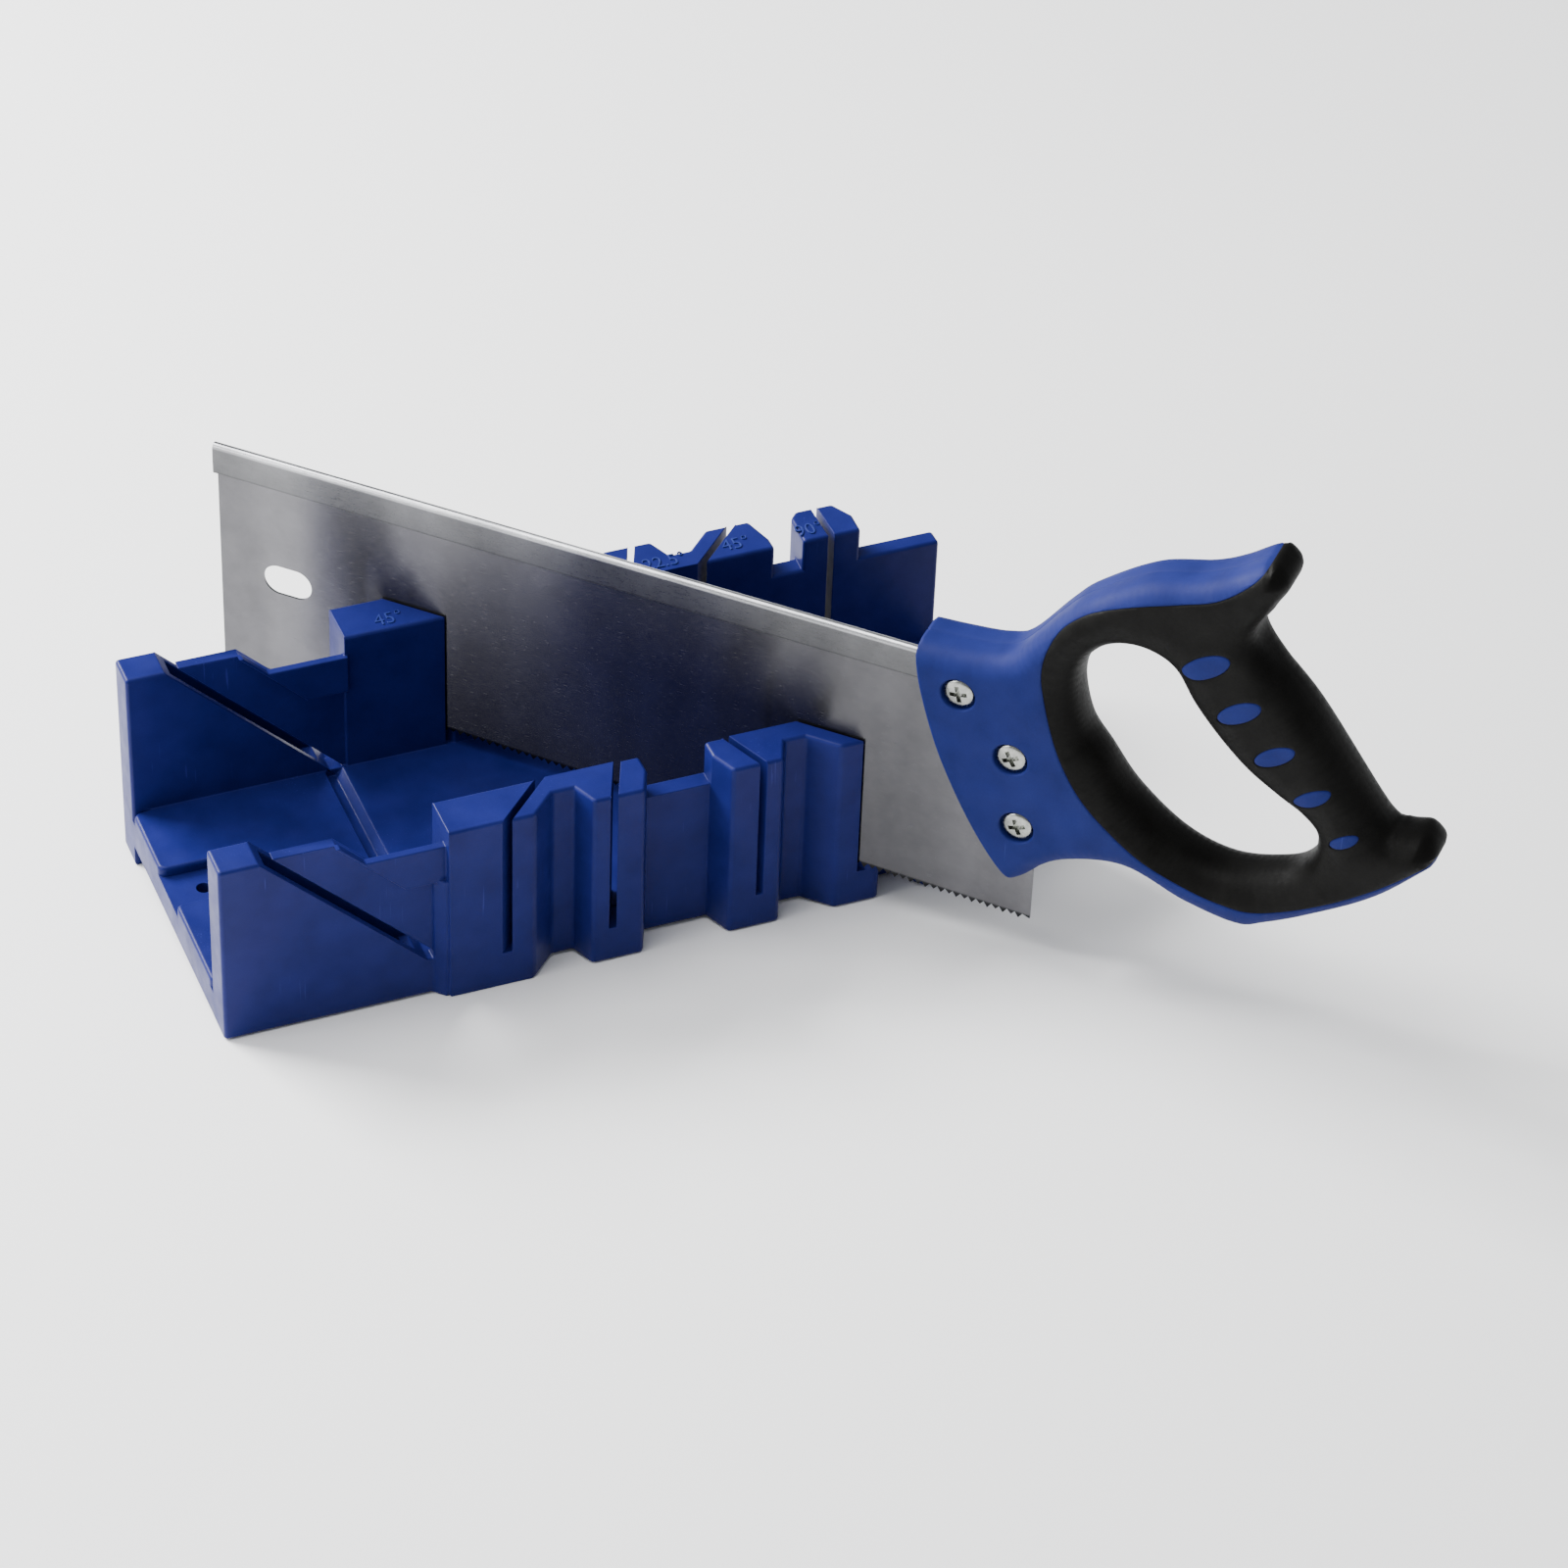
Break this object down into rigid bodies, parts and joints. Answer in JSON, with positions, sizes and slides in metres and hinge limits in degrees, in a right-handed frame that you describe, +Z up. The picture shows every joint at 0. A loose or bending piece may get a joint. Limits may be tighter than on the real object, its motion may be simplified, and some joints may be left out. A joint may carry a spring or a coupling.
{
  "type": "miter box saw",
  "caption": "Moulded miter box with angled guide slots and a tilted slot, holding a back saw with a closed two-tone handle.",
  "frame": {"origin": "centre of the miter box's underside", "axes": "+X along the box towards its end with the square slot, +Y from the worker's side to the wall with the bench hook, +Z up"},
  "size_m": [0.3805, 0.3286, 0.2063],
  "materials": {
    "box_plastic": "fine-grained moulded plastic, deep blue",
    "blade_steel": "ground and polished along the blade",
    "spine_steel": "bright folded strip",
    "core_plastic": "satin moulded plastic, deep blue",
    "grip_rubber": "fine-grained soft overmould, black",
    "screw_steel": "plated"
  },
  "bodies": {
    "box": {"miter_box": "box_plastic"},
    "saw": {"saw_blade": "blade_steel", "blade_spine": "spine_steel", "handle_core": "core_plastic", "handle_grip": "grip_rubber", "handle_screw_upper": "screw_steel", "handle_screw_middle": "screw_steel", "handle_screw_lower": "screw_steel", "sleeve_nut_upper": "screw_steel", "sleeve_nut_middle": "screw_steel", "sleeve_nut_lower": "screw_steel"}
  },
  "joints": [
    {"name": "saw_stroke", "type": "slide", "parent": "box", "child": "saw", "axis": [-0.7071, 0.7071, 0], "range_m": [-0.085, 0.022]}
  ]
}
